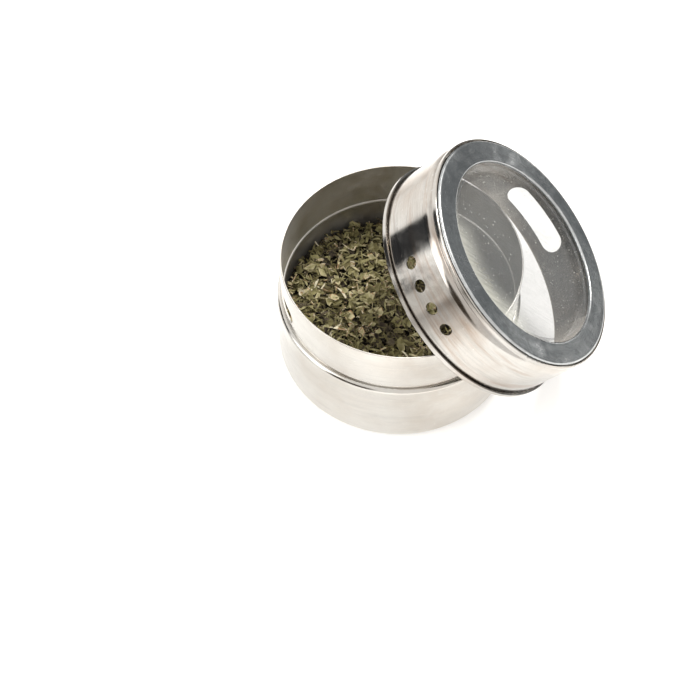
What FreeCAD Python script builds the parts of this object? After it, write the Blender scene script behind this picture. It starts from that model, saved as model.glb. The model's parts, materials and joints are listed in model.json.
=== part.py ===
import FreeCAD, Part
import math
import os

# Round pressed-steel spice tin, open, with its sift-and-pour lid leaning on the rim.
# Millimetres. +Z is up, and the origin is the centre of the base, where the tin stands.
# The lid is drawn upright with its mouth at z = 0, and then leaned into its place.

V = FreeCAD.Vector
ORIGIN = V(0, 0, 0)
UP = V(0, 0, 1)

# Tin: sheet and outside
tin_t = 0.4              # sheet thickness
body_r = 32.5            # outer radius of the body, below the shoulder
neck_r = 31.4            # outer radius of the neck that the lid fits over
tin_height = 37.6        # standing plane to rim
shoulder_z = 23.57       # top of the shoulder, at the foot of the neck
shoulder_round = 1.1
crease_depth = 0.27      # from the neck's outer surface in to where the shoulder ends
crease_round = 0.1
foot_lean = 60.0         # degrees from upright, of the neck's short slope into the crease
foot_round = 0.3
base_round = 3.5         # drawn corner between wall and base
rim_round = 0.1          # both edges of the rim
stand_r = 26.4           # inner radius of the ring that the tin stands on
recess_r = 25.4          # radius of the raised panel inside that ring

# Slot in the neck
neck_slot_len = 15.6     # along the wall, end to end
neck_slot_h = 4.4
neck_slot_z = 28.6
neck_slot_az = -165.8    # bearing of its middle, degrees from +X

# Magnet under the base, and the adhesive disc that holds it
magnet_r = 19.0
magnet_t = 1.6
pad_r = 18.0
pad_t = 0.2
recess = magnet_t + pad_t   # raised panel above the standing plane, so the magnet is flush

# Dried herbs
herb_gap = 0.4           # clear of the sheet all round
herb_top_z = 15.7        # crest of the heap
herb_crest_x = -20.0     # the crest lies toward the slot, and the heap runs down to the other side
herb_curve_r = 130.0     # curve of the heap's surface, across the crest

# Lid: sheet, mouth and skirt
lid_t = 0.35             # sheet thickness
lid_height = 18.5
skirt_r = 32.0           # outer radius of the skirt
hem_gap = 0.45           # space inside the folded hem
hem_h = 1.5

# Lid: the skirt rolls in, turns in a tight valley and out again to a bead
band_z = 14.2            # where the skirt begins to roll in
band_round = 3.0
band_turn = 40.0         # degrees
valley_round = 0.25
bead_slope = 30.0        # degrees, of the short rise from the valley to the bead
bead_rise = 0.27
bead_round = 0.35
bead_top_z = 17.6        # where the bead begins to turn in over the top ring
bead_top_round = 0.4
bead_top_turn = 80.0

# Lid: top ring
ring_r = 31.05           # outer radius of its wall, inside the bead
ring_foot_z = 17.3
ring_round = 0.75        # rounding from the wall to the flat face
window_r = 25.0          # opening in the flat face
lip_round = 0.5
lip_z = 17.6             # lower edge of the lip turned down round the opening

# Lid: openings in the skirt
hole_r = 1.6
hole_count = 4
hole_pitch = 10.94       # degrees between neighbouring sift holes
hole_az = -136.4         # bearing of the row's middle, in the lid's own frame
hole_z = 7.2
pour_len = 21.9          # along the wall, end to end
pour_az = 59.0
pour_z = 7.25
pour_h = 6.5

# Clear window, a shallow tray held between the top ring and the rolled-in band
window_rim_r = 31.0
window_rim_t = 0.4
window_top_z = 17.2
window_wall_r = 23.5     # inner radius of the tray's wall
window_wall_t = 0.9
pane_lo = 14.3
pane_hi = 15.3

# How the lid leans on the tin's rim
lid_tilt = 40.7          # degrees from upright
lid_bearing = -3.4       # degrees from +X
lid_centre = V(31.2, -1.84, 44.03)   # middle of its top face


def line(a, b):
    return Part.LineSegment(V(a[0], 0, a[1]), V(b[0], 0, b[1])).toShape()


def arc(a, mid, b):
    return Part.Arc(V(a[0], 0, a[1]), V(mid[0], 0, mid[1]), V(b[0], 0, b[1])).toShape()


def corner(centre_r, centre_z, radius, start, end):
    """An arc about a centre in the outline's plane, between two angles in degrees."""
    points = []
    for angle in (start, (start + end) / 2, end):
        a = math.radians(angle)
        points.append((centre_r + radius * math.cos(a), centre_z + radius * math.sin(a)))
    return arc(*points)


class Trace:
    """An outline that runs on smoothly in straight and round stretches from a first point.

    The heading is in degrees: 0 points outwards and 90 upwards.
    """

    def __init__(self, r, z, heading):
        self.r = r
        self.z = z
        self.heading = heading
        self.edges = []

    def ahead(self, length):
        start = (self.r, self.z)
        self.r += length * math.cos(math.radians(self.heading))
        self.z += length * math.sin(math.radians(self.heading))
        self.edges.append(line(start, (self.r, self.z)))

    def bend(self, radius, turn):
        """Follow a round stretch, to the left if turn is positive and else to the right."""
        to_centre = math.radians(self.heading + math.copysign(90, turn))
        centre_r = self.r + radius * math.cos(to_centre)
        centre_z = self.z + radius * math.sin(to_centre)
        start = math.degrees(to_centre) - 180
        self.edges.append(corner(centre_r, centre_z, radius, start, start + turn))
        self.r = centre_r + radius * math.cos(math.radians(start + turn))
        self.z = centre_z + radius * math.sin(math.radians(start + turn))
        self.heading += turn


def spin(face):
    return face.revolve(ORIGIN, UP, 360)


def spin_outline(points):
    """A turned solid from a closed outline of straight sides."""
    loop = Part.makePolygon([V(r, 0, z) for r, z in points + points[:1]])
    return spin(Part.Face(loop))


def spin_sheet(edges, thickness):
    """A turned sheet of even thickness, inside the outer surface that the edges draw."""
    outside = Part.Wire(edges)
    return spin(outside.makeOffset2D(thickness, 0, True, True).Faces[0])


def wall_hole(wall_r, radius, z, bearing):
    """Cutter for a round hole through a round wall."""
    a = math.radians(bearing)
    out = V(math.cos(a), math.sin(a), 0)
    return Part.makeCylinder(radius, 6, out * (wall_r - 3) + V(0, 0, z), out)


def wall_slot(wall_r, length, height, z, bearing):
    """Cutter for an oblong slot with round ends, along a round wall."""
    end_r = height / 2
    half = math.degrees((length / 2 - end_r) / wall_r)
    straight = Part.makeCylinder(wall_r + 3, height, V(0, 0, z - end_r), UP, 2 * half)
    straight = straight.cut(Part.makeCylinder(wall_r - 3, height, V(0, 0, z - end_r)))
    straight.rotate(ORIGIN, UP, bearing - half)
    ends = [wall_hole(wall_r, end_r, z, bearing + side * half) for side in (-1, 1)]
    return straight.fuse(ends)


def make_tin_body():
    """One drawn cup: raised base panel, standing ring, body, shoulder, neck and rim."""
    base = [
        line((0, recess), (recess_r, recess)),
        line((recess_r, recess), (stand_r, 0)),
        line((stand_r, 0), (body_r - base_round, 0)),
        corner(body_r - base_round, base_round, base_round, -90, 0),
    ]
    lean_rad = math.radians(foot_lean)
    wall = Trace(body_r, base_round, 90)
    wall.ahead(shoulder_z - shoulder_round - base_round)
    wall.bend(shoulder_round, 90)
    wall.ahead(body_r - shoulder_round - neck_r + crease_depth)
    wall.bend(crease_round, -90 - foot_lean)
    still_out = neck_r - foot_round * (1 - math.cos(lean_rad)) - wall.r
    wall.ahead(still_out / math.sin(lean_rad))
    wall.bend(foot_round, foot_lean)
    wall.ahead(tin_height - wall.z)
    tin = spin_sheet(base + wall.edges, tin_t)
    rim = [e for e in tin.Edges if abs(e.BoundBox.ZMin - tin_height) < 0.01]
    tin = tin.makeFillet(rim_round, rim)
    return tin.cut(wall_slot(neck_r, neck_slot_len, neck_slot_h, neck_slot_z, neck_slot_az))


def make_magnet():
    return Part.makeCylinder(magnet_r, magnet_t, V(0, 0, recess - pad_t - magnet_t))


def make_magnet_pad():
    return Part.makeCylinder(pad_r, pad_t, V(0, 0, recess - pad_t))


def make_herbs():
    """A heap banked up on one side of the tin, clear of the sheet."""
    low = tin_t + herb_gap
    wall = body_r - low
    panel = recess + low
    edges = [
        line((0, panel), (recess_r + low, panel)),
        line((recess_r + low, panel), (stand_r + low, low)),
        line((stand_r + low, low), (body_r - base_round, low)),
        corner(body_r - base_round, base_round, base_round - low, -90, 0),
        line((wall, base_round), (wall, herb_top_z)),
        line((wall, herb_top_z), (0, herb_top_z)),
        line((0, herb_top_z), (0, panel)),
    ]
    heap = spin(Part.Face(Part.Wire(edges)))
    surface = Part.makeCylinder(herb_curve_r, 2 * body_r,
                                V(herb_crest_x, -body_r, herb_top_z - herb_curve_r), V(0, 1, 0))
    return heap.common(surface)


def make_lid_skirt():
    """Hemmed mouth, skirt with its openings, rolled-in band, valley and bead."""
    fold = hem_gap / 2
    fold_z = lid_t + fold
    outside = Trace(skirt_r + hem_gap, hem_h, -90)
    outside.ahead(hem_h - fold_z)
    outside.bend(fold, -180)
    outside.ahead(band_z - fold_z)
    outside.bend(band_round, band_turn)
    outside.bend(valley_round, bead_slope - 90 - band_turn)
    outside.ahead(bead_rise)
    outside.bend(bead_round, 90 - bead_slope)
    outside.ahead(bead_top_z - outside.z)
    outside.bend(bead_top_round, bead_top_turn)
    skirt = spin_sheet(outside.edges, lid_t)
    first = hole_az - hole_pitch * (hole_count - 1) / 2
    openings = [wall_slot(skirt_r, pour_len, pour_h, pour_z, pour_az)]
    openings += [wall_hole(skirt_r, hole_r, hole_z, first + i * hole_pitch)
                 for i in range(hole_count)]
    return skirt.cut(openings)


def make_lid_top_ring():
    """Flat annular top face with a rounded edge and a lip round the window."""
    round_z = lid_height - ring_round
    outside = [
        line((ring_r, ring_foot_z), (ring_r, round_z)),
        corner(ring_r - ring_round, round_z, ring_round, 0, 90),
        line((ring_r - ring_round, lid_height), (window_r + lip_round, lid_height)),
        corner(window_r + lip_round, lid_height - lip_round, lip_round, 90, 180),
        line((window_r, lid_height - lip_round), (window_r, lip_z)),
    ]
    return spin_sheet(outside, lid_t)


def make_window():
    wall_out = window_wall_r + window_wall_t
    rim_foot = window_top_z - window_rim_t
    return spin_outline([
        (0, pane_lo), (wall_out, pane_lo), (wall_out, rim_foot), (window_rim_r, rim_foot),
        (window_rim_r, window_top_z), (window_wall_r, window_top_z),
        (window_wall_r, pane_hi), (0, pane_hi),
    ])


def lean(shape):
    """Tip the upright lid over and carry the middle of its top face to lid_centre."""
    shape.translate(V(0, 0, -lid_height))
    shape.rotate(ORIGIN, V(0, 1, 0), lid_tilt)
    shape.rotate(ORIGIN, UP, lid_bearing)
    shape.translate(lid_centre)
    return shape


nodes = {
    "tin_body": make_tin_body(),
    "base_magnet": make_magnet(),
    "magnet_pad": make_magnet_pad(),
    "herb_fill": make_herbs(),
    "lid_skirt": lean(make_lid_skirt()),
    "lid_top_ring": lean(make_lid_top_ring()),
    "window": lean(make_window()),
}

if __name__ == "__main__":
    os.makedirs("parts", exist_ok=True)
    for name, shape in nodes.items():
        solids = shape.Solids
        solid = solids[0] if len(solids) == 1 else Part.makeCompound(solids)
        solid.exportStep(f"parts/{name}.step")
        print(f"{name}: {len(solids)} solid, valid {shape.isValid()}, {shape.Volume:.0f} mm3")
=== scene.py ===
import json
import math
import random

import bmesh
import bpy
from mathutils import Matrix, Vector, noise


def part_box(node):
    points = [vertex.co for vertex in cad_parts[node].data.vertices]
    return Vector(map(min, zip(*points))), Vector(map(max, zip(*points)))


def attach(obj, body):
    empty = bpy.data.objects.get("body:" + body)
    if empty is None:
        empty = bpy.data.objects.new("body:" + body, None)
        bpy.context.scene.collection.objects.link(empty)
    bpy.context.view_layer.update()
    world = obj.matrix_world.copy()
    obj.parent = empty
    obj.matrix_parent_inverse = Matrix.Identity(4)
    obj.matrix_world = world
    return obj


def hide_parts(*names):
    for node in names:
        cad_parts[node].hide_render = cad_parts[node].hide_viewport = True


# A round steel spice tin, open and half full of dried herb, with its lid leaning on the rim.
# Metres throughout. The frame holds every steel and plastic part. This script adds the
# finishes, the loose herb, the studio and the camera.

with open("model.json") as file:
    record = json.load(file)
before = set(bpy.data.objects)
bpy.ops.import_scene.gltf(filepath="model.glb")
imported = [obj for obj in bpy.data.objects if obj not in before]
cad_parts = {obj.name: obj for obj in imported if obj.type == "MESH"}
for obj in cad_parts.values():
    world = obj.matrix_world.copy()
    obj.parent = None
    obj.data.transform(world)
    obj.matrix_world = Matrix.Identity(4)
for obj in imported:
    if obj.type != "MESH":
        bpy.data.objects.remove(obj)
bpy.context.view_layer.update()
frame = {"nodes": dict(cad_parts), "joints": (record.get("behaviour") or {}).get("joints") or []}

MM = 0.001
UP = Vector((0, 0, 1))

# The herbs: the box of their solid in the frame gives the tin's inner radius
HERB_LOW, HERB_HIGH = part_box("herb_fill")
BODY_INSIDE = HERB_HIGH.x
HERB_CREST_X = -20 * MM      # the heap is banked up on the side of the slot
HERB_CURVE_R = 130 * MM      # and its top curves down from there

# The lid: its turning joint gives the middle of its top face and its axis
LID_TURN = next(j for j in frame["joints"] if j["name"] == "lid_turn")
LID_CENTRE = Vector(LID_TURN["pos_m"])
LID_AXIS = Vector(LID_TURN["axis"]).normalized()
LID_TILT = LID_AXIS.angle(UP)
LID_BEARING = math.atan2(LID_AXIS.y, LID_AXIS.x)


# ---------------------------------------------------------------- node helpers

class Nodes:
    """A short way to build one node tree."""

    def __init__(self, tree):
        self.tree = tree

    def add(self, kind, **settings):
        node = self.tree.nodes.new(kind)
        for name, value in settings.items():
            setattr(node, name, value)
        return node

    def link(self, source, target):
        self.tree.links.new(source, target)

    def feed(self, socket, value):
        """Links a socket to the input, or sets it to a value. None leaves it as it is."""
        if isinstance(value, bpy.types.NodeSocket):
            self.link(value, socket)
        elif value is not None:
            socket.default_value = value

    def math(self, operation, a, b=None, clamp=False):
        node = self.add("ShaderNodeMath", operation=operation, use_clamp=clamp)
        self.feed(node.inputs[0], a)
        self.feed(node.inputs[1], b)
        return node.outputs[0]

    def vector(self, operation, a, b=None):
        node = self.add("ShaderNodeVectorMath", operation=operation)
        self.feed(node.inputs[0], a)
        self.feed(node.inputs[1], b)
        return node.outputs["Value" if operation in ("LENGTH", "DOT_PRODUCT") else "Vector"]

    def place(self):
        """Where a point of the surface is, in the object's own space."""
        return self.add("ShaderNodeTexCoord").outputs["Object"]

    def split(self, vector):
        """The x, y and z of a vector."""
        node = self.add("ShaderNodeSeparateXYZ")
        self.link(vector, node.inputs[0])
        return node.outputs[0], node.outputs[1], node.outputs[2]

    def noise(self, where, scale, detail, rough=0.5, distortion=0.0):
        node = self.add("ShaderNodeTexNoise")
        self.link(where, node.inputs["Vector"])
        node.inputs["Scale"].default_value = scale
        node.inputs["Detail"].default_value = detail
        node.inputs["Roughness"].default_value = rough
        node.inputs["Distortion"].default_value = distortion
        return node.outputs["Fac"]

    def span(self, value, low, high, out_low=0.0, out_high=1.0, smooth=False):
        """Takes low..high to out_low..out_high, and holds the value at the ends."""
        node = self.add("ShaderNodeMapRange")
        if smooth:
            node.interpolation_type = "SMOOTHSTEP"
        self.feed(node.inputs["Value"], value)
        limits = {"From Min": low, "From Max": high, "To Min": out_low, "To Max": out_high}
        for name, number in limits.items():
            node.inputs[name].default_value = number
        return node.outputs["Result"]

    def blend(self, factor, a, b):
        """Colour a at factor 0, colour b at factor 1."""
        node = self.add("ShaderNodeMix", data_type="RGBA")
        # A mix node's inputs 6 and 7 and its output 2 are the ones for colours.
        self.feed(node.inputs[0], factor)
        self.feed(node.inputs[6], a)
        self.feed(node.inputs[7], b)
        return node.outputs[2]

    def ramp(self, factor, stops):
        node = self.add("ShaderNodeValToRGB")
        elements = node.color_ramp.elements
        while len(elements) < len(stops):
            elements.new(0.5)
        for element, (place, colour) in zip(elements, stops):
            element.position = place
            element.color = colour
        self.feed(node.inputs[0], factor)
        return node.outputs[0]

    def bump(self, height, strength, distance, normal=None):
        node = self.add("ShaderNodeBump")
        node.inputs["Strength"].default_value = strength
        node.inputs["Distance"].default_value = distance
        self.link(height, node.inputs["Height"])
        self.feed(node.inputs["Normal"], normal)
        return node.outputs["Normal"]


def rgba(r, g, b):
    return (r, g, b, 1.0)


def new_material(name):
    """An empty material with one Principled shader, its node helper and that shader."""
    material = bpy.data.materials.new(name)
    material.use_nodes = True
    nodes = Nodes(material.node_tree)
    shader = material.node_tree.nodes["Principled BSDF"]
    return material, nodes, shader


# ---------------------------------------------------------------- steel

# How fast the turned lines change along their own length: the less, the longer they are
FINE_LINES, COARSE_LINES = 0.02, 0.09
LINE_DARKNESS = 0.55         # of the steel's own tone
WORN_BROWN = rgba(0.33, 0.235, 0.17)
STEEL_DUST = rgba(0.8, 0.79, 0.76)


def turned_place(nodes, tilt=0.0, bearing=0.0, centre=(0, 0, 0)):
    """Object coordinates in the frame of a turned part: its axis is z."""
    place = nodes.add("ShaderNodeMapping", vector_type="TEXTURE")
    nodes.link(nodes.place(), place.inputs["Vector"])
    place.inputs["Location"].default_value = centre
    place.inputs["Rotation"].default_value = (0, tilt, bearing)
    return place.outputs["Vector"]


def along_turning(nodes, axis, centre):
    """World direction that runs round the axis, for the stretch of the highlights."""
    from_centre = nodes.vector("SUBTRACT", nodes.place(), tuple(centre))
    round_axis = nodes.vector("CROSS_PRODUCT", tuple(axis), from_centre)
    turn = nodes.add("ShaderNodeVectorTransform", vector_type="VECTOR",
                     convert_from="OBJECT", convert_to="WORLD")
    nodes.link(round_axis, turn.inputs[0])
    return nodes.vector("NORMALIZE", turn.outputs[0])


def turned_lines(nodes, x, y, across, along):
    """A place that hardly changes round the part, so that a noise there draws lines round it."""
    lines = nodes.add("ShaderNodeCombineXYZ")
    nodes.link(nodes.math("MULTIPLY", x, along), lines.inputs[0])
    nodes.link(nodes.math("MULTIPLY", y, along), lines.inputs[1])
    nodes.link(across, lines.inputs[2])
    return lines.outputs[0]


def steel(name, streaks, axis=UP, centre=(0, 0, 0), tilt=0.0, bearing=0.0,
          tone=rgba(0.64, 0.62, 0.585), stain=rgba(0.555, 0.515, 0.465),
          rough=0.13, dents=0.05, dull_inside=0.0, browned=0.0, mottled=0.1,
          brushed_gloss=0.5, gloss_turn=0.25):
    """Thin turned stainless sheet: fine lines round the part, stains, smudges and dust.

    streaks, browned and mottled say how strong the dark lines, the worn brown and the dark
    grain are. dull_inside is added to the roughness of faces that look towards the axis.
    brushed_gloss stretches the highlights: round the part with gloss_turn 0, and across its
    turning lines with gloss_turn 0.25.
    """
    material, nodes, shader = new_material(name)
    place = turned_place(nodes, tilt, bearing, centre)
    x, y, z = nodes.split(place)
    radius_squared = nodes.math("ADD", nodes.math("MULTIPLY", x, x), nodes.math("MULTIPLY", y, y))
    across = nodes.math("ADD", z, nodes.math("SQRT", radius_squared))
    fine, coarse = (turned_lines(nodes, x, y, across, along) for along in (FINE_LINES, COARSE_LINES))
    brushed = nodes.noise(fine, 2400, detail=4, rough=0.75)
    bands = nodes.noise(coarse, 420, detail=5, rough=0.7, distortion=0.2)
    worn = nodes.noise(coarse, 260, detail=4, rough=0.65, distortion=0.5)
    smudge = nodes.noise(place, 150, detail=5, rough=0.65, distortion=0.8)
    cloud = nodes.noise(place, 42, detail=3, rough=0.55)
    grain = nodes.noise(place, 500, detail=6, rough=0.85)
    sheet = nodes.noise(place, 60, detail=1)
    dust = nodes.noise(place, 1900, detail=1)

    tint = nodes.blend(nodes.span(cloud, 0.4, 0.64), tone, stain)
    tint = nodes.blend(nodes.span(smudge, 0.46, 0.72, 0.0, 0.6), tint, tone)
    dark = rgba(*(LINE_DARKNESS * c for c in tone[:3]))
    tint = nodes.blend(nodes.span(bands, 0.52, 0.74, 0.0, 2.4 * streaks), tint, dark)
    tint = nodes.blend(nodes.span(brushed, 0.5, 0.8, 0.0, 1.6 * streaks), tint, dark)
    tint = nodes.blend(nodes.span(grain, 0.44, 0.66, 0.0, mottled), tint, dark)
    tint = nodes.blend(nodes.span(worn, 0.53, 0.68, 0.0, browned), tint, WORN_BROWN)
    tint = nodes.blend(nodes.span(dust, 0.745, 0.79, 0.0, 0.55), tint, STEEL_DUST)
    nodes.link(tint, shader.inputs["Base Color"])
    shader.inputs["Metallic"].default_value = 1.0
    shader.inputs["Anisotropic"].default_value = brushed_gloss
    shader.inputs["Anisotropic Rotation"].default_value = gloss_turn
    nodes.link(along_turning(nodes, axis, centre), shader.inputs["Tangent"])

    haze = nodes.span(smudge, 0.35, 0.75, rough - 0.04, rough + 0.12)
    haze = nodes.math("ADD", haze, nodes.span(brushed, 0.3, 0.7, -0.03, 0.04))
    if dull_inside:
        outward = nodes.add("ShaderNodeCombineXYZ")
        nodes.link(x, outward.inputs[0])
        nodes.link(y, outward.inputs[1])
        facing = nodes.vector("DOT_PRODUCT", nodes.add("ShaderNodeTexCoord").outputs["Normal"],
                              nodes.vector("NORMALIZE", outward.outputs[0]))
        haze = nodes.math("ADD", haze, nodes.span(facing, -0.1, 0.1, dull_inside, 0.0))
    nodes.link(haze, shader.inputs["Roughness"])

    waves = nodes.bump(sheet, dents, 0.8 * MM)
    lines = nodes.bump(brushed, 0.1, 0.015 * MM, waves)
    nodes.link(nodes.bump(bands, 0.12, 0.03 * MM, lines), shader.inputs["Normal"])
    return material


# ---------------------------------------------------------------- clear plastic

CLEAR_TONE, MILKY_TONE = rgba(0.24, 0.248, 0.252), rgba(0.74, 0.74, 0.67)
RUB_TURN, RUB_STRETCH = 0.9, 14      # the rubbed marks' direction, radians, and how drawn out
DUSTY_SIDE = -128.0                  # bearing in the lid's frame, degrees
DUST_FROM_R, DUST_FULL_R = 12 * MM, 23 * MM
GLARE = 0.5                          # how opaque the plastic gets when it is seen edge on


def clear_plastic(name):
    """Clear plastic gone slightly milky, with dust, rub marks and a drift of herb dust."""
    material, nodes, shader = new_material(name)
    place = turned_place(nodes, LID_TILT, LID_BEARING, LID_CENTRE)
    shader.inputs["IOR"].default_value = 1.49
    cloud = nodes.noise(place, 70, detail=5, rough=0.65, distortion=0.4)
    drawn_out = nodes.add("ShaderNodeMapping", vector_type="POINT")
    nodes.link(place, drawn_out.inputs["Vector"])
    drawn_out.inputs["Rotation"].default_value = (0, 0, RUB_TURN)
    drawn_out.inputs["Scale"].default_value = (1, RUB_STRETCH, 1)
    rubbed = nodes.noise(drawn_out.outputs[0], 90, detail=4, rough=0.7)
    grains = nodes.noise(drawn_out.outputs[0], 200, detail=5, rough=0.75)
    dust = nodes.span(nodes.noise(place, 1500, detail=1), 0.72, 0.80, 0.0, 0.4)

    flat = nodes.vector("MULTIPLY", place, (1, 1, 0))
    outer = nodes.span(nodes.vector("LENGTH", flat), DUST_FROM_R, DUST_FULL_R, smooth=True)
    side = nodes.vector("DOT_PRODUCT", nodes.vector("NORMALIZE", flat), tuple(direction(DUSTY_SIDE, 0)))
    drift = nodes.math("MULTIPLY", outer, nodes.span(side, 0.5, 0.9, smooth=True))
    drift = nodes.math("MULTIPLY", drift, nodes.span(grains, 0.3, 0.7, 0.5, 1.0))

    veil = nodes.math("ADD", nodes.span(cloud, 0.35, 0.75, 0.24, 0.32),
                      nodes.span(rubbed, 0.5, 0.8, 0.0, 0.10))
    milky = nodes.math("ADD", nodes.math("MULTIPLY", drift, 0.32), dust)
    edge_on = nodes.add("ShaderNodeLayerWeight")
    edge_on.inputs["Blend"].default_value = 0.5
    grazing = nodes.math("POWER", edge_on.outputs["Facing"], 5.0)
    glare = nodes.span(grazing, 0.0, 1.0, 0.0, GLARE)
    alpha = nodes.math("MAXIMUM", nodes.math("ADD", veil, milky, clamp=True), glare)
    nodes.link(alpha, shader.inputs["Alpha"])
    tint = nodes.blend(nodes.span(milky, 0.0, 0.2), CLEAR_TONE, MILKY_TONE)
    nodes.link(tint, shader.inputs["Base Color"])
    nodes.link(nodes.span(cloud, 0.4, 0.8, 0.06, 0.2), shader.inputs["Roughness"])
    return material


# ---------------------------------------------------------------- hidden parts

def ferrite(name):
    """The dark, slightly gritty ceramic of a magnet."""
    material, nodes, shader = new_material(name)
    place = nodes.place()
    specks = nodes.noise(place, 2200, detail=3, rough=0.7)
    cloud = nodes.noise(place, 120, detail=3)
    greys = [(0.3, rgba(0.035, 0.035, 0.038)), (0.7, rgba(0.075, 0.073, 0.07))]
    nodes.link(nodes.ramp(cloud, greys), shader.inputs["Base Color"])
    nodes.link(nodes.span(specks, 0.3, 0.7, 0.45, 0.7), shader.inputs["Roughness"])
    nodes.link(nodes.bump(specks, 0.35, 0.05 * MM), shader.inputs["Normal"])
    return material


def adhesive(name):
    """The off-white foam of a sticky pad."""
    material, nodes, shader = new_material(name)
    cells = nodes.noise(nodes.place(), 1800, detail=2)
    creams = [(0.35, rgba(0.72, 0.70, 0.63)), (0.7, rgba(0.86, 0.85, 0.80))]
    nodes.link(nodes.ramp(cells, creams), shader.inputs["Base Color"])
    shader.inputs["Roughness"].default_value = 0.7
    nodes.link(nodes.bump(cells, 0.3, 0.04 * MM), shader.inputs["Normal"])
    return material


# ---------------------------------------------------------------- dried herb

HEAP_ROUGHNESS = 0.9 * MM
HEAP_DEPTH = 2.0 * MM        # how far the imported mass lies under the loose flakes
HEAP_FLOOR_GAP = 2.0 * MM    # how far its foot stays above the foot of the solid in the frame
HEAP_RINGS, HEAP_SPOKES = 60, 200
PAINTED_SHADE_SPOT = (-4 * MM, -9 * MM)      # a spot of painted shade at the front of the heap
PAINTED_SHADE_SPOT_R = 9 * MM
PAINTED_SHADE_SPOT_DEPTH = 0.35

# Shades are places on the ramp in herb_material
LEAF_SHADE, LEAF_SPREAD = 0.45, 0.24
DARKEST_LEAF, PALEST_LEAF = 0.02, 0.84
STEM_SHADES = (0.82, 0.90, 0.95)     # two sorts of pale stem, and a red-brown husk
STEM_FROM = 0.80             # a shade as pale as this is not altered by where the bit lies
STEM_STRETCH = 1.4
PATCH_SCALE, PATCH_SHADE = 75, 0.30  # patches of paler and darker leaf
DEPTH_PAINTED_SHADE = 0.14             # painted shade by depth: bits on top are this much paler, and those below darker
WALL_MARGIN = 0.42           # of its length, between a bit's middle and the wall
BIT_THICKNESS_MM = (0.07, 0.13)


def heap_height(x, y):
    """Top of the herb at a place in the tin: a bank that runs down to +X, uneven at two scales."""
    bank = HERB_HIGH.z - (x - HERB_CREST_X) ** 2 / (2 * HERB_CURVE_R)
    lumps = noise.noise(Vector((x, y, 0.3)) * 110) + 0.6 * noise.noise(Vector((x, y, 0.7)) * 330)
    return bank + HEAP_ROUGHNESS * lumps


def herb_material(name, dark=False):
    """Dried leaf. The point attribute called flake runs from near-black bits to pale stems.

    Its dark end carries painted shade as well as the leaf's own tone. The heap has no such attribute,
    and so takes the darkest shade. With dark the colour is painted almost black, as shade deep in the
    pile.
    """
    material, nodes, shader = new_material(name)
    flake = nodes.add("ShaderNodeAttribute", attribute_name="flake").outputs["Fac"]
    place = nodes.place()
    leaf = nodes.noise(place, 800, detail=4, rough=0.65)
    veins = nodes.noise(place, 2600, detail=3, rough=0.6)
    kinds = [
        (0.00, rgba(0.012, 0.008, 0.006)), (0.12, rgba(0.040, 0.028, 0.022)),
        (0.24, rgba(0.085, 0.066, 0.042)), (0.36, rgba(0.135, 0.114, 0.046)),
        (0.50, rgba(0.215, 0.190, 0.080)), (0.66, rgba(0.320, 0.288, 0.132)),
        (0.80, rgba(0.440, 0.400, 0.220)), (0.90, rgba(0.640, 0.565, 0.345)),
        (0.95, rgba(0.360, 0.170, 0.068)), (1.00, rgba(0.800, 0.730, 0.540)),
    ]
    colour = nodes.ramp(flake, kinds)
    colour = nodes.blend(nodes.span(leaf, 0.42, 0.75, 0.0, 0.6), colour, rgba(0.10, 0.085, 0.035))
    colour = nodes.blend(nodes.span(veins, 0.55, 0.78, 0.0, 0.2), colour, rgba(0.80, 0.73, 0.48))
    # Painted shade: the heap under the loose bits is made almost black, as the shade deep in the pile.
    if dark:
        colour = nodes.blend(0.85, colour, rgba(0.016, 0.011, 0.006))
    nodes.link(colour, shader.inputs["Base Color"])
    shader.inputs["Roughness"].default_value = 0.8
    shader.inputs["Specular IOR Level"].default_value = 0.3
    nodes.link(nodes.bump(veins, 0.5, 0.08 * MM), shader.inputs["Normal"])
    return material


def make_heap():
    """The closed mass of herb under the flakes, in the space of its solid in the frame."""
    floor = HERB_LOW.z + HEAP_FLOOR_GAP
    mesh = bmesh.new()
    loops = []
    for i in range(1, HEAP_RINGS + 1):
        r = BODY_INSIDE * i / HEAP_RINGS
        loop = []
        for k in range(HEAP_SPOKES):
            a = 2 * math.pi * k / HEAP_SPOKES
            x, y = r * math.cos(a), r * math.sin(a)
            loop.append(mesh.verts.new((x, y, heap_height(x, y) - HEAP_DEPTH)))
        loops.append(loop)
    top = mesh.verts.new((0, 0, heap_height(0, 0) - HEAP_DEPTH))
    foot = [mesh.verts.new((v.co.x, v.co.y, floor)) for v in loops[-1]]
    loops.append(foot)
    for k in range(HEAP_SPOKES):
        j = (k + 1) % HEAP_SPOKES
        mesh.faces.new((top, loops[0][k], loops[0][j]))
        for inner, outer in zip(loops, loops[1:]):
            mesh.faces.new((inner[k], outer[k], outer[j], inner[j]))
    mesh.faces.new(list(reversed(foot)))
    return finish_mesh(mesh, "herb_heap")


def finish_mesh(mesh, name, smooth=True):
    """Turns a finished bmesh into an object in the scene."""
    data = bpy.data.meshes.new(name)
    mesh.normal_update()
    mesh.to_mesh(data)
    mesh.free()
    data.polygons.foreach_set("use_smooth", [smooth] * len(data.polygons))
    piece = bpy.data.objects.new(name, data)
    bpy.context.scene.collection.objects.link(piece)
    return piece


def leaf_outline(rng, length, width):
    """A torn bit of leaf: an uneven loop of corners with bites out of it."""
    corners = rng.randint(5, 8)
    points = []
    for i in range(corners):
        a = 2 * math.pi * (i + rng.uniform(-0.35, 0.35)) / corners
        reach = rng.uniform(0.95, 1.2) if rng.random() < 0.6 else rng.uniform(0.45, 0.8)
        points.append((0.5 * length * reach * math.cos(a), 0.5 * width * reach * math.sin(a)))
    return points


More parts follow.
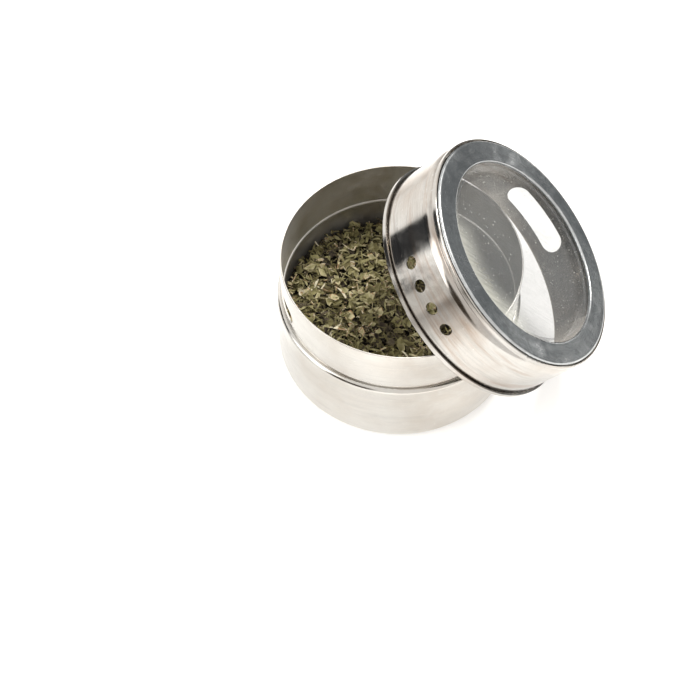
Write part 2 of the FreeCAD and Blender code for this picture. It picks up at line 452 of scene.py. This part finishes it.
def add_flake(mesh, shade_layer, rng, place, size, turn, shade):
    """One closed thin flake: torn, creased along its length, crumpled, paler at its edge."""
    length, width, thickness = size
    crease = rng.uniform(-0.8, 0.8)
    bow = rng.uniform(-0.6, 0.6) / length
    top, under = [], []
    for x, y in [(0.0, 0.0)] + leaf_outline(rng, length, width):
        z = crease * abs(y) + bow * x * x + rng.uniform(-0.1, 0.1) * width
        tone = shade + (rng.uniform(0.0, 0.24) if top else -0.06)
        for side, offset in ((top, 0.5 * thickness), (under, -0.5 * thickness)):
            vertex = mesh.verts.new(place + turn @ Vector((x, y, z + offset)))
            vertex[shade_layer] = tone
            side.append(vertex)
    corners = len(top) - 1
    for i in range(1, corners + 1):
        j = i % corners + 1
        mesh.faces.new((top[0], top[i], top[j]))
        mesh.faces.new((under[0], under[j], under[i]))
        mesh.faces.new((top[i], under[i], under[j], top[j]))


def add_curl(mesh, shade_layer, rng, place, size, turn, shade):
    """One closed curled strip: a sliver of leaf that dried into an arc, or a bit of stem."""
    length, width, thickness = size
    steps = 5
    bend = rng.uniform(-2.4, 2.4) if rng.random() < 0.7 else rng.uniform(-0.4, 0.4)
    twist = rng.uniform(-0.8, 0.8)
    heading = -0.5 * bend
    x, z = -0.5 * length, 0.0
    sections = []
    for i in range(steps + 1):
        taper = 0.55 + 0.45 * math.sin(math.pi * (i + 0.6) / (steps + 1.2))
        roll = Matrix.Rotation(twist * (i / steps - 0.5), 3, "X")
        tone = shade + rng.uniform(-0.06, 0.10)
        section = []
        for side, offset in ((-0.5, 0.5), (0.5, 0.5), (0.5, -0.5), (-0.5, -0.5)):
            corner = roll @ Vector((0, side * width * taper, offset * thickness))
            vertex = mesh.verts.new(place + turn @ (corner + Vector((x, 0, z))))
            vertex[shade_layer] = tone + (0.08 if side > 0 else 0.0)
            section.append(vertex)
        sections.append(section)
        x += math.cos(heading) * length / steps
        z += math.sin(heading) * length / steps
        heading += bend / steps
    for a, b in zip(sections, sections[1:]):
        for k in range(4):
            j = (k + 1) % 4
            mesh.faces.new((a[k], a[j], b[j], b[k]))
    mesh.faces.new(tuple(reversed(sections[0])))
    mesh.faces.new(tuple(sections[-1]))


def strew(name, count, seed, add, sizes, widths, tumble, depth, pale=0.0, sunk=0.0, dim=0.0):
    """Loose bits strewn on the heap, as one object.

    add makes one bit. sizes are the least, greatest and likeliest lengths, and widths the
    least and greatest as shares of the length. tumble is how far the bits tip, in radians.
    They lie within depth of a layer that is sunk under the heap's top. A share pale of them
    are stems and husks, and dim darkens the rest, as painted shade for bits sunk in the gaps.
    """
    rng = random.Random(seed)
    mesh = bmesh.new()
    shade_layer = mesh.verts.layers.float.new("flake")
    for _ in range(count):
        length = rng.triangular(*sizes)
        width = length * rng.uniform(*widths)
        shade = min(PALEST_LEAF, max(DARKEST_LEAF, rng.gauss(LEAF_SHADE, LEAF_SPREAD)))
        if rng.random() < pale:
            shade = rng.choice(STEM_SHADES)
            length *= STEM_STRETCH
        room = BODY_INSIDE - WALL_MARGIN * length
        r = room * math.sqrt(rng.random())
        a = rng.uniform(0, 2 * math.pi)
        x, y = r * math.cos(a), r * math.sin(a)
        lift = rng.uniform(-1.0, 1.0)
        z = heap_height(x, y) + lift * depth - sunk
        if shade < STEM_FROM:
            patch = noise.noise(Vector((x, y, 2.0)) * PATCH_SCALE)
            in_shade_spot = max(0.0, 1.0 - math.dist((x, y), PAINTED_SHADE_SPOT) / PAINTED_SHADE_SPOT_R)
            # Painted shade: a bit is darker the lower it lies in the heap and paler on top, and dim
            # darkens it further.
            shade += PATCH_SHADE * patch + DEPTH_PAINTED_SHADE * lift - dim
            # Painted shade: the bits in a spot at the front of the heap are made darker.
            shade -= PAINTED_SHADE_SPOT_DEPTH * in_shade_spot
        turn = (Matrix.Rotation(rng.uniform(0, 2 * math.pi), 3, "Z")
                @ Matrix.Rotation(rng.gauss(0, 0.6 * tumble), 3, "Y")
                @ Matrix.Rotation(rng.gauss(0, tumble), 3, "X"))
        size = (length, width, rng.uniform(*BIT_THICKNESS_MM) * MM)
        add(mesh, shade_layer, rng, Vector((x, y, z)), size, turn, shade)
    return finish_mesh(mesh, name, smooth=False)


def build_herbs():
    """The herb that shows: a heap painted almost black as shade, and three kinds of loose bits strewn
    over it.
    """
    heap = make_heap()
    heap.data.materials.append(herb_material("herb_heap", dark=True))
    leaf = herb_material("herb_leaf")
    loose = [
        # The crumbs lie sunk and dimmed: painted shade in the gaps between the flakes.
        strew("herb_crumbs", count=2600, seed=11, add=add_flake,
              sizes=(0.6 * MM, 1.9 * MM, 1.0 * MM), widths=(0.4, 0.9),
              tumble=0.8, depth=0.7 * MM, sunk=0.6 * MM, dim=0.16),
        strew("herb_flakes", count=1500, seed=23, add=add_flake,
              sizes=(1.5 * MM, 4.6 * MM, 2.6 * MM), widths=(0.4, 0.85),
              tumble=0.5, depth=1.0 * MM),
        strew("herb_slivers", count=2300, seed=37, add=add_curl,
              sizes=(1.0 * MM, 4.0 * MM, 1.9 * MM), widths=(0.10, 0.24),
              tumble=0.5, depth=1.1 * MM, pale=0.08),
    ]
    for piece in loose:
        piece.data.materials.append(leaf)
    for piece in [heap] + loose:
        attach(piece, "tin")
        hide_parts("herb_fill")


# ---------------------------------------------------------------- finishes

def paint(node, material):
    """Gives a piece of the frame this material and no other."""
    data = frame["nodes"][node].data
    data.materials.clear()
    data.materials.append(material)


def build_finishes():
    lid_frame = dict(centre=LID_CENTRE, axis=LID_AXIS, tilt=LID_TILT, bearing=LID_BEARING)
    paint("tin_body", steel("tin_steel", streaks=0.10, dull_inside=0.34))
    paint("lid_skirt", steel("lid_steel", streaks=0.3, dull_inside=0.06, browned=0.6,
                             tone=rgba(0.55, 0.53, 0.50), stain=rgba(0.42, 0.365, 0.315),
                             **lid_frame))
    paint("lid_top_ring", steel("ring_steel", streaks=0.3, mottled=0.6, rough=0.18, dents=0.06,
                                brushed_gloss=0.9, gloss_turn=0.0,
                                tone=rgba(0.61, 0.625, 0.63), stain=rgba(0.37, 0.38, 0.39),
                                **lid_frame))
    paint("window", clear_plastic("window_plastic"))
    paint("base_magnet", ferrite("magnet_ferrite"))
    paint("magnet_pad", adhesive("magnet_adhesive"))


# ---------------------------------------------------------------- studio

FLOOR_R = 200 * MM
FLOOR_SPOKES = 96
FLOOR_DROP = 0.02 * MM       # keeps the floor just clear of the tin's underside
FLOOR_GLOW = 0.38
DIM_FROM_X, DIM_FULL_X = -15 * MM, -75 * MM      # the floor is darker on the left
DIM_WHITE = rgba(0.50, 0.50, 0.49)


def make_floor():
    """A round white table top with a faint glow, darker on the left where the tin mirrors it."""
    mesh = bmesh.new()
    ring = []
    for k in range(FLOOR_SPOKES):
        a = 2 * math.pi * k / FLOOR_SPOKES
        ring.append(mesh.verts.new((FLOOR_R * math.cos(a), FLOOR_R * math.sin(a), 0)))
    mesh.faces.new(ring)
    floor = finish_mesh(mesh, "floor")
    material, nodes, shader = new_material("floor_white")
    place = nodes.place()
    cloud = nodes.noise(place, 6, detail=2)
    white = nodes.ramp(cloud, [(0.3, rgba(0.88, 0.875, 0.865)), (0.7, rgba(0.90, 0.895, 0.885))])
    dimmed = nodes.span(nodes.split(place)[0], DIM_FULL_X, DIM_FROM_X, 1.0, 0.0, smooth=True)
    nodes.link(nodes.blend(dimmed, white, DIM_WHITE), shader.inputs["Base Color"])
    shader.inputs["Roughness"].default_value = 0.9
    shader.inputs["Specular IOR Level"].default_value = 0.1
    shader.inputs["Emission Color"].default_value = rgba(1.0, 0.99, 0.97)
    shader.inputs["Emission Strength"].default_value = FLOOR_GLOW
    floor.data.materials.append(material)
    floor.location.z = -FLOOR_DROP


def direction(bearing, elevation):
    """The direction at a bearing from +X and an elevation, both in degrees."""
    b, e = math.radians(bearing), math.radians(elevation)
    return Vector((math.cos(b) * math.cos(e), math.sin(b) * math.cos(e), math.sin(e)))


def sector(nodes, view, bearing, half_width, soft):
    """1 within half_width degrees of a bearing, down to 0 over soft degrees at its edge."""
    flat = nodes.vector("NORMALIZE", nodes.vector("MULTIPLY", view, (1, 1, 0)))
    facing = nodes.vector("DOT_PRODUCT", flat, tuple(direction(bearing, 0)))
    outer, inner = (math.cos(math.radians(half_width + side * soft)) for side in (0.5, -0.5))
    return nodes.span(facing, outer, inner, smooth=True)


def between(nodes, height, low, high, soft):
    """1 between two elevations in degrees, down to 0 over soft degrees outside them."""
    sines = [math.sin(math.radians(e)) for e in (low - soft, low, high, high + soft)]
    rise = nodes.span(height, sines[0], sines[1], smooth=True)
    fall = nodes.span(height, sines[2], sines[3], 1.0, 0.0, smooth=True)
    return nodes.math("MULTIPLY", rise, fall)


TENT = rgba(1.08, 1.06, 1.03)


def build_world():
    """White to the camera. What the steel mirrors is a pale tent with dim and bright areas."""
    world = bpy.data.worlds.new("studio")
    bpy.context.scene.world = world
    world.use_nodes = True
    nodes = Nodes(world.node_tree)
    background = world.node_tree.nodes["Background"]
    view = nodes.add("ShaderNodeTexCoord").outputs["Generated"]
    height = nodes.split(view)[2]

    patches = [
        # bearing, half width, soft edge; low, high, soft edge; colour: each is laid over the last
        (38, 55, 16, -20, 18, 12, rgba(0.26, 0.27, 0.272)),
        (128, 22, 8, -20, 40, 8, rgba(1.55, 1.54, 1.51)),
        (-172, 16, 14, -20, 2, 6, rgba(0.25, 0.255, 0.255)),
        (173, 8, 10, -20, 12, 8, rgba(0.10, 0.10, 0.10)),
        (-155, 5, 6, -20, 4, 4, rgba(0.90, 0.90, 0.87)),
        (163, 11.5, 3, -20, 26, 10, rgba(0.045, 0.047, 0.05)),
        (-163, 18, 8, 7, 60, 4, rgba(3.2, 3.2, 3.16)),
        (-126, 18, 8, -2, 30, 14, rgba(0.07, 0.055, 0.04)),
    ]
    colour = TENT
    for bearing, half, side_soft, low, high, soft, tone in patches:
        inside = nodes.math("MULTIPLY", sector(nodes, view, bearing, half, side_soft),
                            between(nodes, height, low, high, soft))
        colour = nodes.blend(inside, colour, tone)
    seen = nodes.add("ShaderNodeLightPath").outputs["Is Camera Ray"]
    nodes.link(nodes.blend(seen, colour, rgba(1.0, 1.0, 1.0)), background.inputs["Color"])
    background.inputs["Strength"].default_value = 1.0


KEY_FROM = direction(60, 60)
KEY_STRENGTH = 1.9
KEY_WIDTH = math.radians(14)


def build_lights():
    """A broad soft key from high on the right, behind the lid."""
    light = bpy.data.lights.new("key", "SUN")
    light.energy = KEY_STRENGTH
    light.angle = KEY_WIDTH
    light.color = (1.0, 0.985, 0.96)
    lamp = bpy.data.objects.new("key", light)
    lamp.rotation_euler = (-KEY_FROM).to_track_quat("-Z", "Y").to_euler()
    bpy.context.scene.collection.objects.link(lamp)


CAMERA_PLACE = (-12.65 * MM, -199.07 * MM, 291.35 * MM)
CAMERA_DOWN = math.radians(56.224)
CAMERA_ROLL = math.radians(1.562)
CAMERA_LENS, CAMERA_SENSOR = 64.29, 36.0      # these two in millimetres, as Blender has them


def build_camera():
    """Looks down on the tin at 56 degrees, a long lens about a third of a metre away."""
    forward = Vector((0, math.cos(CAMERA_DOWN), -math.sin(CAMERA_DOWN)))
    level = Vector((1, 0, 0))
    upright = Vector((0, math.sin(CAMERA_DOWN), math.cos(CAMERA_DOWN)))
    right = math.cos(CAMERA_ROLL) * level + math.sin(CAMERA_ROLL) * upright
    up = math.cos(CAMERA_ROLL) * upright - math.sin(CAMERA_ROLL) * level
    data = bpy.data.cameras.new("camera")
    data.sensor_width = CAMERA_SENSOR
    data.lens = CAMERA_LENS
    data.clip_start = 10 * MM
    camera = bpy.data.objects.new("camera", data)
    camera.matrix_world = Matrix((
        (right.x, up.x, -forward.x, CAMERA_PLACE[0]),
        (right.y, up.y, -forward.y, CAMERA_PLACE[1]),
        (right.z, up.z, -forward.z, CAMERA_PLACE[2]),
        (0, 0, 0, 1)))
    bpy.context.scene.collection.objects.link(camera)
    bpy.context.scene.camera = camera


build_finishes()
build_herbs()
make_floor()
build_world()
build_lights()
build_camera()
bpy.context.scene.view_settings.view_transform = "Standard"
